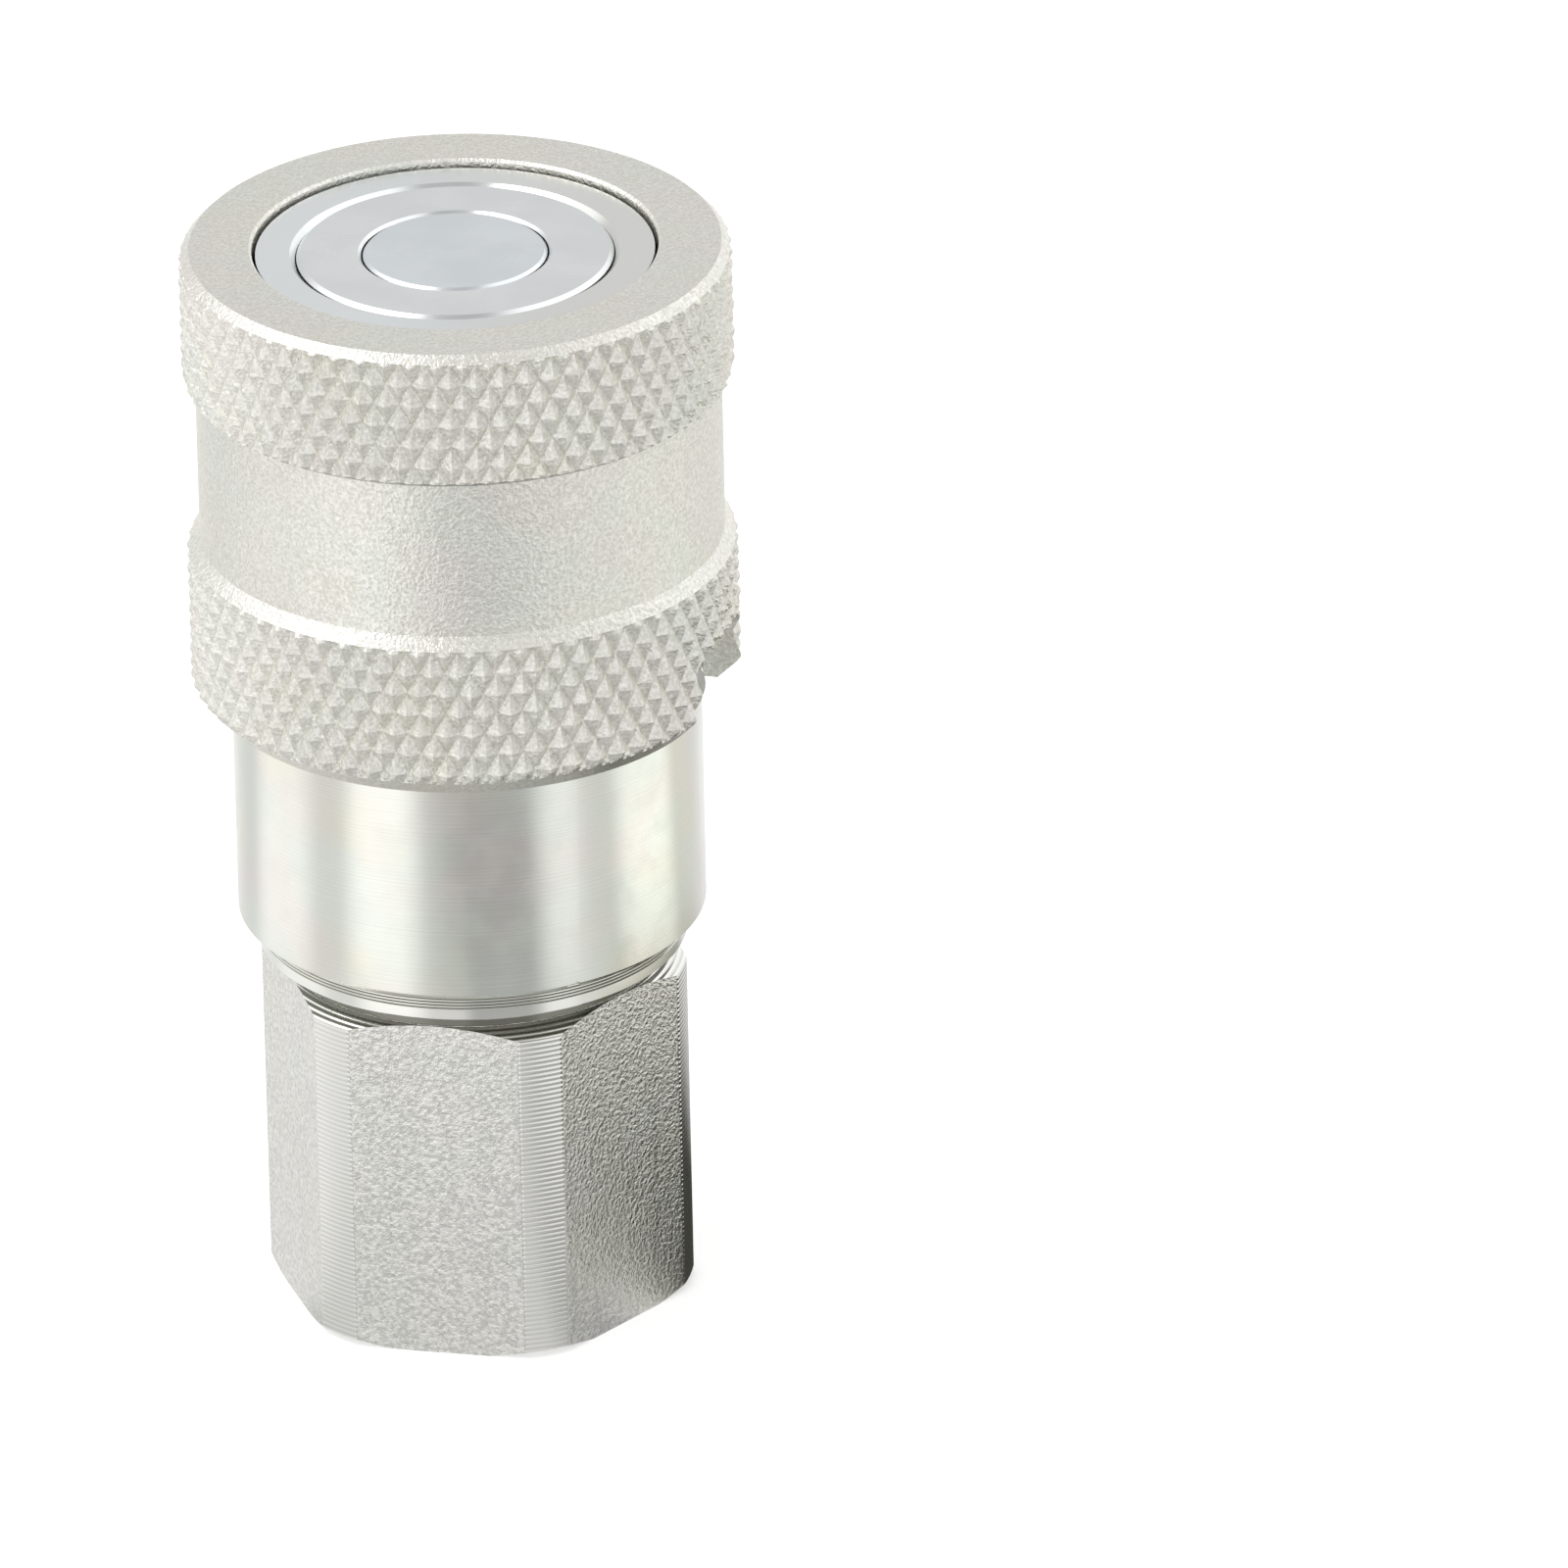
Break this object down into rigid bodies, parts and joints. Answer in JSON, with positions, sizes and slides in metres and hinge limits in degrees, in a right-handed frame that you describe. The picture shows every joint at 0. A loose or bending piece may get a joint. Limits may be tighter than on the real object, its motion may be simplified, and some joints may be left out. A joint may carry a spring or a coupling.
{
  "type": "flat-face hydraulic quick coupler, female half",
  "caption": "Flat-face hydraulic quick coupler half: a knurled locking sleeve round a spring-loaded flush valve, with a hexagon end and a threaded port.",
  "frame": {"origin": "centre of the port's end face, on which the coupler stands", "axes": "+Z along the coupler's axis, from the port towards the mouth; two flats of the hexagon face -Y and +Y, and the notch of the sleeve is close to +X"},
  "size_m": [0.0282, 0.0282, 0.058],
  "materials": {
    "sleeve_zinc": "blasted and zinc plated, knurled grip bands",
    "body_zinc": "zinc plated, satin turned",
    "adapter_zinc": "zinc plated, drawn hexagon flats with turned ends",
    "valve_steel": "fine turned, zinc plated",
    "stem_steel": "fine turned, zinc plated",
    "inner_steel": "plain turned steel",
    "spring_steel": "spring wire",
    "ball_steel": "polished",
    "seal_rubber": "black nitrile rubber",
    "backup_plastic": "white low-friction plastic"
  },
  "bodies": {
    "coupler_body": {"front_body": "body_zinc", "rear_adapter": "adapter_zinc", "valve_stem": "stem_steel", "stem_seal": "seal_rubber", "stem_spider": "inner_steel", "spider_ring": "spring_steel", "stem_nut": "inner_steel", "nose_seal": "seal_rubber", "nose_backup_ring": "backup_plastic", "adapter_seal": "seal_rubber", "sleeve_stop_ring": "spring_steel", "turn_stop_ball": "ball_steel", "valve_spring": "spring_steel", "lock_ball_1": "ball_steel", "lock_ball_2": "ball_steel", "lock_ball_3": "ball_steel", "lock_ball_4": "ball_steel", "lock_ball_5": "ball_steel", "lock_ball_6": "ball_steel", "lock_ball_7": "ball_steel", "lock_ball_8": "ball_steel"},
    "valve": {"valve_sleeve": "valve_steel"},
    "sleeve_carrier": {"spring_washer": "inner_steel", "sleeve_spring": "spring_steel"},
    "sleeve": {"locking_sleeve": "sleeve_zinc"}
  },
  "joints": [
    {"name": "valve_sleeve_slide", "type": "slide", "parent": "coupler_body", "child": "valve", "axis": [0, 0, -1], "range_m": [0, 0.0115], "stiffness_N_per_m": 1500, "springref_m": -0.01, "deforming": ["valve_spring"]},
    {"name": "sleeve_turn", "type": "hinge", "parent": "coupler_body", "child": "sleeve_carrier", "pos_m": [0, 0, 0.0393], "axis": [0, 0, 1], "range_deg": [-10, 10]},
    {"name": "sleeve_slide", "type": "slide", "parent": "sleeve_carrier", "child": "sleeve", "axis": [0, 0, -1], "range_m": [0, 0.0018], "stiffness_N_per_m": 3000, "springref_m": -0.004, "deforming": ["sleeve_spring"]}
  ]
}
